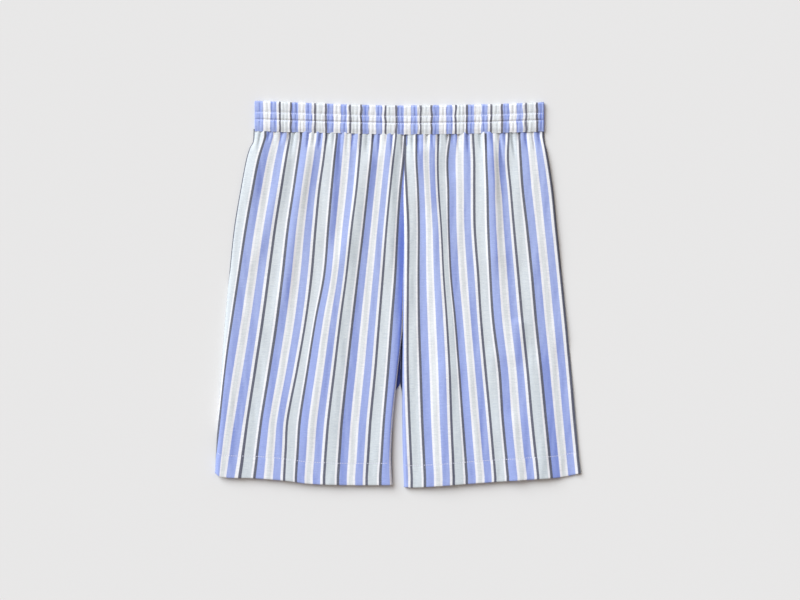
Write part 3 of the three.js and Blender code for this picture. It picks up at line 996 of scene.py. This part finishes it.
def pocket_bag(leg, material):
    """A bag, its two layers made as one thickened sheet, pressed flat between the front and the
    back.
    """
    top = POCKET_TOP - BAG_BELOW_TOP
    bottom = POCKET_TOP - POCKET_MOUTH - BAG_DROP

    def place(i, j):
        across = i / BAG_COLUMNS
        down = j / BAG_ROWS
        y = lerp(top, bottom, down)
        low = smooth(down, BAG_ROUND_FROM, 1)
        outer = BAG_SEAM + BAG_OUTER_CORNER * low * low
        inner = BAG_WIDTH - BAG_INNER_CORNER * low * low
        inward = lerp(outer, inner, across)
        x = leg.side(max(y, bottom)) * leg.hand - inward
        edge = min(across, 1 - across) * 2
        z = BAG_REST + BAG_PUFF * rounded(edge, BAG_EDGE_SHARE) + roughness(BAG_RIPPLE, x, y)
        return (leg.hand * x, y, z), (inward, y)

    name = f"cloth_pocket_bag_{leg.name}"
    obj = grid_piece(name, BAG_COLUMNS, BAG_ROWS, place, material, turned=leg.hand > 0)
    return thicken(obj, BAG_THICKNESS)


def stitch_row(name, points, stitch, material):
    """Short threads laid end to end along a line of points on the cloth."""
    bm = bmesh.new()
    travelled = 0
    start = None
    for before, after in zip(points, points[1:]):
        step = (after - before).length
        travelled += step
        if start is None:
            start = before
        if travelled >= stitch.length:
            middle = (start + before) / 2
            along = before - start
            if along.length > LEAST_STITCH * stitch.length:
                made = bmesh.ops.create_icosphere(bm, subdivisions=1, radius=0.5)["verts"]
                direction = along.normalized()
                across = direction.cross(Vector((0, 0, 1))).normalized()
                for vertex in made:
                    local = vertex.co.copy()
                    vertex.co = (
                        middle
                        + direction * local.x * (along.length - stitch.gap)
                        + across * local.y * stitch.width
                        + Vector((0, 0, 1)) * local.z * stitch.width * STITCH_FLATNESS
                    ) * MM
            travelled = 0
            start = None
    for face in bm.faces:
        face.smooth = True
    return mesh_object(name, bm, material)


def add_node(tree, kind, **values):
    node = tree.nodes.new(kind)
    for key, value in values.items():
        setattr(node, key, value)
    return node


def set_inputs(node, values):
    for name, value in values.items():
        node.inputs[name].default_value = value


def maths(tree, operation, first, second=None):
    node = add_node(tree, "ShaderNodeMath", operation=operation)
    for socket, value in zip(node.inputs, (first, second)):
        if value is None:
            continue
        if isinstance(value, (int, float)):
            socket.default_value = value
        else:
            tree.links.new(value, socket)
    return node.outputs[0]


def stretched_noise(tree, vector, across, along, detail):
    """Noise over the cloth, with its size across and along the stripes in millimetres."""
    mapping = add_node(tree, "ShaderNodeMapping")
    set_inputs(mapping, {"Scale": (1 / (across * MM), 1 / (along * MM), 1)})
    tree.links.new(vector, mapping.inputs["Vector"])
    texture = add_node(tree, "ShaderNodeTexNoise")
    set_inputs(texture, {"Scale": 1, "Detail": detail})
    tree.links.new(mapping.outputs[0], texture.inputs["Vector"])
    return texture.outputs["Fac"]


def mix_colour(tree, blend, amount, first, second):
    node = add_node(tree, "ShaderNodeMix", data_type="RGBA", blend_type=blend)
    sockets = (node.inputs[0], node.inputs[6], node.inputs[7])
    for socket, value in zip(sockets, (amount, first, second)):
        if isinstance(value, (int, float)):
            socket.default_value = value
        elif isinstance(value, tuple):
            socket.default_value = (*value, 1)
        else:
            tree.links.new(value, socket)
    return node.outputs[2]


def ramp(tree, factor, stops):
    node = add_node(tree, "ShaderNodeValToRGB")
    elements = node.color_ramp.elements
    while len(elements) > 1:
        elements.remove(elements[-1])
    elements[0].position = stops[0][0]
    elements[0].color = (*stops[0][1], 1)
    for position, colour in stops[1:]:
        element = elements.new(position)
        element.color = (*colour, 1)
    tree.links.new(factor, node.inputs[0])
    return node.outputs[0]


def stripe_stops(changed):
    """Two stops to a stripe, with a narrow blur between stripes. "changed" holds the
    colours that differ from the table's."""
    stops = []
    start = 0
    for stripe in STRIPES:
        colour = changed.get(stripe.colour, stripe.colour)
        first = start / STRIPE_REPEAT + (STRIPE_BLUR / 2 / STRIPE_REPEAT if start else 0)
        end = stripe.end / STRIPE_REPEAT - STRIPE_BLUR / 2 / STRIPE_REPEAT
        stops.append((first, colour))
        stops.append((min(end, 1.0), colour))
        start = stripe.end
    return stops


def striped_cotton(name, changed):
    """Plain-woven cotton: coloured warp stripes, crossed by a white weft with slubs."""
    material = bpy.data.materials.new(name)
    material.use_nodes = True
    tree = material.node_tree
    shader = tree.nodes["Principled BSDF"]
    cloth = add_node(tree, "ShaderNodeUVMap", uv_map="cloth").outputs[0]
    apart = add_node(tree, "ShaderNodeSeparateXYZ")
    tree.links.new(cloth, apart.inputs[0])
    wander = stretched_noise(tree, cloth, across=3, along=2.2, detail=2)
    wander = maths(tree, "SUBTRACT", wander, 0.5)
    wander = maths(tree, "MULTIPLY", wander, STRIPE_WANDER * MM)
    across = maths(tree, "ADD", apart.outputs[0], wander)
    repeat = maths(tree, "FRACT", maths(tree, "DIVIDE", across, STRIPE_REPEAT * MM))
    stripes = ramp(tree, repeat, stripe_stops(changed))
    weft = stretched_noise(tree, cloth, across=9, along=0.75, detail=3)
    mottle = stretched_noise(tree, cloth, across=1.5, along=1.3, detail=3)
    slub = ramp(tree, weft, SLUB_TINTS)
    colour = mix_colour(tree, "MULTIPLY", TINT_AMOUNT, stripes, slub)
    grain = ramp(tree, mottle, GRAIN_TINTS)
    colour = mix_colour(tree, "MULTIPLY", TINT_AMOUNT, colour, grain)
    specks = stretched_noise(tree, cloth, across=0.8, along=0.8, detail=2)
    speck = maths(tree, "GREATER_THAN", specks, SPECKS_FROM)
    speck = maths(tree, "MULTIPLY", speck, SPECK_AMOUNT)
    colour = mix_colour(tree, "LIGHTEN", speck, colour, SPECK_COLOUR)
    # Painted shade: the vertex attribute deepens each stripe's colour towards its blue, and
    # above 1 darkens it further by the painted deep shade colour.
    hollow = add_node(tree, "ShaderNodeAttribute", attribute_name="hollow").outputs["Fac"]
    parts = add_node(tree, "ShaderNodeSeparateColor")
    tree.links.new(stripes, parts.inputs[0])
    painted_shade_tint = mix_colour(tree, "DIVIDE", 1.0, stripes, parts.outputs["Blue"])
    colour = mix_colour(tree, "MULTIPLY", hollow, colour, painted_shade_tint)
    depth = maths(tree, "SUBTRACT", hollow, 1.0)
    colour = mix_colour(tree, "MULTIPLY", depth, colour, DEEP_SHADE)
    tree.links.new(colour, shader.inputs["Base Color"])
    set_inputs(shader, COTTON_SURFACE)
    weave(tree, shader, cloth)
    return material


def weave(tree, shader, cloth):
    """A fine plain weave as a bump."""
    heights = []
    for direction in ("X", "Y"):
        wave = add_node(tree, "ShaderNodeTexWave", wave_type="BANDS", bands_direction=direction)
        scale = 1 / (WEAVE_PITCH * MM) / WAVE_RADIANS
        set_inputs(wave, {"Scale": scale, "Distortion": 0.6, "Detail": 1})
        tree.links.new(cloth, wave.inputs["Vector"])
        heights.append(wave.outputs["Fac"])
    rough = stretched_noise(tree, cloth, across=0.6, along=0.6, detail=2)
    height = maths(tree, "ADD", maths(tree, "ADD", *heights), rough)
    bump = add_node(tree, "ShaderNodeBump")
    set_inputs(bump, {"Strength": WEAVE_STRENGTH, "Distance": WEAVE_DEPTH * MM})
    tree.links.new(height, bump.inputs["Height"])
    tree.links.new(bump.outputs[0], shader.inputs["Normal"])


def plain_material(name, colour, matt):
    material = bpy.data.materials.new(name)
    material.use_nodes = True
    shader = material.node_tree.nodes["Principled BSDF"]
    surface = {"Base Color": (*colour, 1), "Roughness": matt, "Specular IOR Level": 0.15}
    set_inputs(shader, surface)
    return material


def material_called(name, make, *values):
    return bpy.data.materials.get(name) or make(name, *values)


# The settings that say how fine the grids are.
CELL_COUNTS = (
    ("front_columns", "across a front panel", 144),
    ("front_rows", "down a front panel", 246),
    ("back_columns", "across a back panel", 70),
    ("back_rows", "down a back panel", 120),
    ("band_columns", "along the waistband", 620),
    ("band_rows", "across the waistband", 48),
)


class ShortsSettings(bpy.types.PropertyGroup):
    """What the panel in the sidebar changes."""

    thickness: bpy.props.FloatProperty(
        name="Cloth thickness", description="In millimetres", default=0.5, min=0.2
    )
    fold_scale: bpy.props.FloatProperty(
        name="Folds", description="Height of the folds, as a factor", default=1.0
    )
    gather_scale: bpy.props.FloatProperty(
        name="Gathers", description="Height of the gathers, as a factor", default=1.0
    )
    sun_strength: bpy.props.FloatProperty(
        name="Sun", description="Strength of the main light", default=3.75
    )
    fill_strength: bpy.props.FloatProperty(
        name="Fill", description="Strength of the surrounding light", default=0.318
    )
    sun_spread: bpy.props.FloatProperty(
        name="Sun spread",
        description="Softness of the main light",
        default=math.radians(50),
        subtype="ANGLE",
    )


for key, cells, count in CELL_COUNTS:
    ShortsSettings.__annotations__[key] = bpy.props.IntProperty(
        name=key.replace("_", " ").capitalize(), description=f"Cells {cells}", default=count
    )


class SHORTS_OT_fronts(bpy.types.Operator):
    """Lay the two front panels"""

    bl_idname = "shorts.fronts"
    bl_label = "Front panels"

    def execute(self, context):
        settings = context.scene.shorts
        cotton = material_called("striped cotton", striped_cotton, FLAT)
        for leg in (RIGHT, LEFT):
            obj = front_panel(leg, settings, cotton)
            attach(obj, "root")
            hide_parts(f"front_{leg.name}")
        return {"FINISHED"}


class SHORTS_OT_backs(bpy.types.Operator):
    """Lay the two back panels"""

    bl_idname = "shorts.backs"
    bl_label = "Back panels"

    def execute(self, context):
        settings = context.scene.shorts
        cotton = material_called("striped cotton", striped_cotton, FLAT)
        for leg in (RIGHT, LEFT):
            obj = back_panel(leg, settings, cotton)
            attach(obj, "root")
            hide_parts(f"back_{leg.name}")
        return {"FINISHED"}


class SHORTS_OT_waistband(bpy.types.Operator):
    """Gather the two halves of the waistband"""

    bl_idname = "shorts.waistband"
    bl_label = "Waistband"

    def execute(self, context):
        settings = context.scene.shorts
        # The waistband's cotton, with its paler stripes painted lighter as painted light.
        cotton = material_called("gathered cotton", striped_cotton, BAND_PAINTED_LIGHTER)
        for side in ("back", "front"):
            obj = waistband_half(side, settings, cotton)
            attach(obj, "root")
            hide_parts(f"waistband_{side}")
        return {"FINISHED"}


class SHORTS_OT_pockets(bpy.types.Operator):
    """Lay the two pocket bags between the panels"""

    bl_idname = "shorts.pockets"
    bl_label = "Pocket bags"

    def execute(self, context):
        plain = material_called("pocket cotton", plain_material, POCKET_COLOUR, 0.9)
        for leg in (RIGHT, LEFT):
            obj = pocket_bag(leg, plain)
            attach(obj, "root")
            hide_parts(f"pocket_bag_{leg.name}")
        return {"FINISHED"}


class SHORTS_OT_stitches(bpy.types.Operator):
    """Sew the rows of stitches that show"""

    bl_idname = "shorts.stitches"
    bl_label = "Stitches"

    def execute(self, context):
        settings = context.scene.shorts
        thread = material_called("thread", plain_material, THREAD_COLOUR, 0.7)
        creases = waist_creases()
        for leg in (RIGHT, LEFT):
            points = []
            edges = panel_edges(leg, HEM_STITCH_LEVEL, True)
            for step in range(HEM_STITCH_POINTS):
                x = lerp(*edges, lerp(*HEM_STITCH_ENDS, step / (HEM_STITCH_POINTS - 1)))
                y = leg.hem(x) + HEM_DEPTH + roughness(HEM_STITCH_WANDER, x, 6.6, leg.hand)
                z = front_height(leg, x, y, creases, settings) + HEM_STITCH.lift
                points.append(Vector((x, y, z)))
            obj = stitch_row(f"stitches_hem_{leg.name}", points, HEM_STITCH, thread)
            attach(obj, "root")
        for number, row in enumerate(BAND_ROWS):
            points = []
            share = row.share + BAND_STITCH_BELOW
            for step in range(BAND_STITCH_POINTS):
                x = lerp(*BAND_STITCH_ENDS, step / (BAND_STITCH_POINTS - 1))
                y = lerp(band_top(x), band_seam(x), share)
                z = band_surface(x, share, BAND_SEED["front"], settings) * band_flatness(x)
                points.append(Vector((x, y, z + BAND_STITCH.lift)))
            obj = stitch_row(f"stitches_band_{number + 1}", points, BAND_STITCH, thread)
            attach(obj, "root")
        return {"FINISHED"}


class SHORTS_OT_stage(bpy.types.Operator):
    """Set up the floor, the lights and the camera"""

    bl_idname = "shorts.stage"
    bl_label = "Stage"

    def execute(self, context):
        settings = context.scene.shorts
        bm = bmesh.new()
        bmesh.ops.create_grid(bm, x_segments=1, y_segments=1, size=FLOOR_SIZE)
        grey = material_called("floor", plain_material, FLOOR_COLOUR, 1.0)
        floor = mesh_object("floor", bm, grey)

        sun = bpy.data.lights.new("sun", "SUN")
        sun.energy = settings.sun_strength
        sun.angle = settings.sun_spread
        sun.color = SUN_COLOUR
        lamp = put("sun", sun)
        lamp.rotation_euler = Vector(SUN_TRAVEL).to_track_quat("-Z", "Y").to_euler()

        world = bpy.data.worlds.new("studio")
        context.scene.world = world
        world.use_nodes = True
        background = world.node_tree.nodes["Background"]
        set_inputs(background, {"Color": WORLD_COLOUR, "Strength": settings.fill_strength})

        camera = bpy.data.cameras.new("camera")
        camera.lens = CAMERA_LENS
        camera.sensor_width = SENSOR_WIDTH
        camera.clip_end = 20
        holder = put("camera", camera)
        holder.location = CAMERA_PLACE
        context.scene.camera = holder
        context.scene.view_settings.view_transform = "Standard"
        return {"FINISHED"}


class SHORTS_PT_panel(bpy.types.Panel):
    """The add-on's panel in the sidebar"""

    bl_idname = "SHORTS_PT_panel"
    bl_label = "Striped shorts"
    bl_space_type = "VIEW_3D"
    bl_region_type = "UI"
    bl_category = "Shorts"

    def draw(self, context):
        settings = context.scene.shorts
        for name in ShortsSettings.__annotations__:
            self.layout.prop(settings, name)
        for operator in OPERATORS:
            self.layout.operator(operator.bl_idname)


OPERATORS = (
    SHORTS_OT_backs,
    SHORTS_OT_pockets,
    SHORTS_OT_fronts,
    SHORTS_OT_waistband,
    SHORTS_OT_stitches,
    SHORTS_OT_stage,
)
CLASSES = (ShortsSettings, *OPERATORS, SHORTS_PT_panel)


def register():
    for cls in CLASSES:
        bpy.utils.register_class(cls)
    bpy.types.Scene.shorts = bpy.props.PointerProperty(type=ShortsSettings)


def unregister():
    del bpy.types.Scene.shorts
    for cls in reversed(CLASSES):
        bpy.utils.unregister_class(cls)


def main():
    register()
    bpy.ops.shorts.stitches()
    bpy.ops.shorts.backs()
    bpy.ops.shorts.pockets()
    bpy.ops.shorts.fronts()
    bpy.ops.shorts.waistband()
    bpy.ops.shorts.stage()


if __name__ == "__main__":
    main()
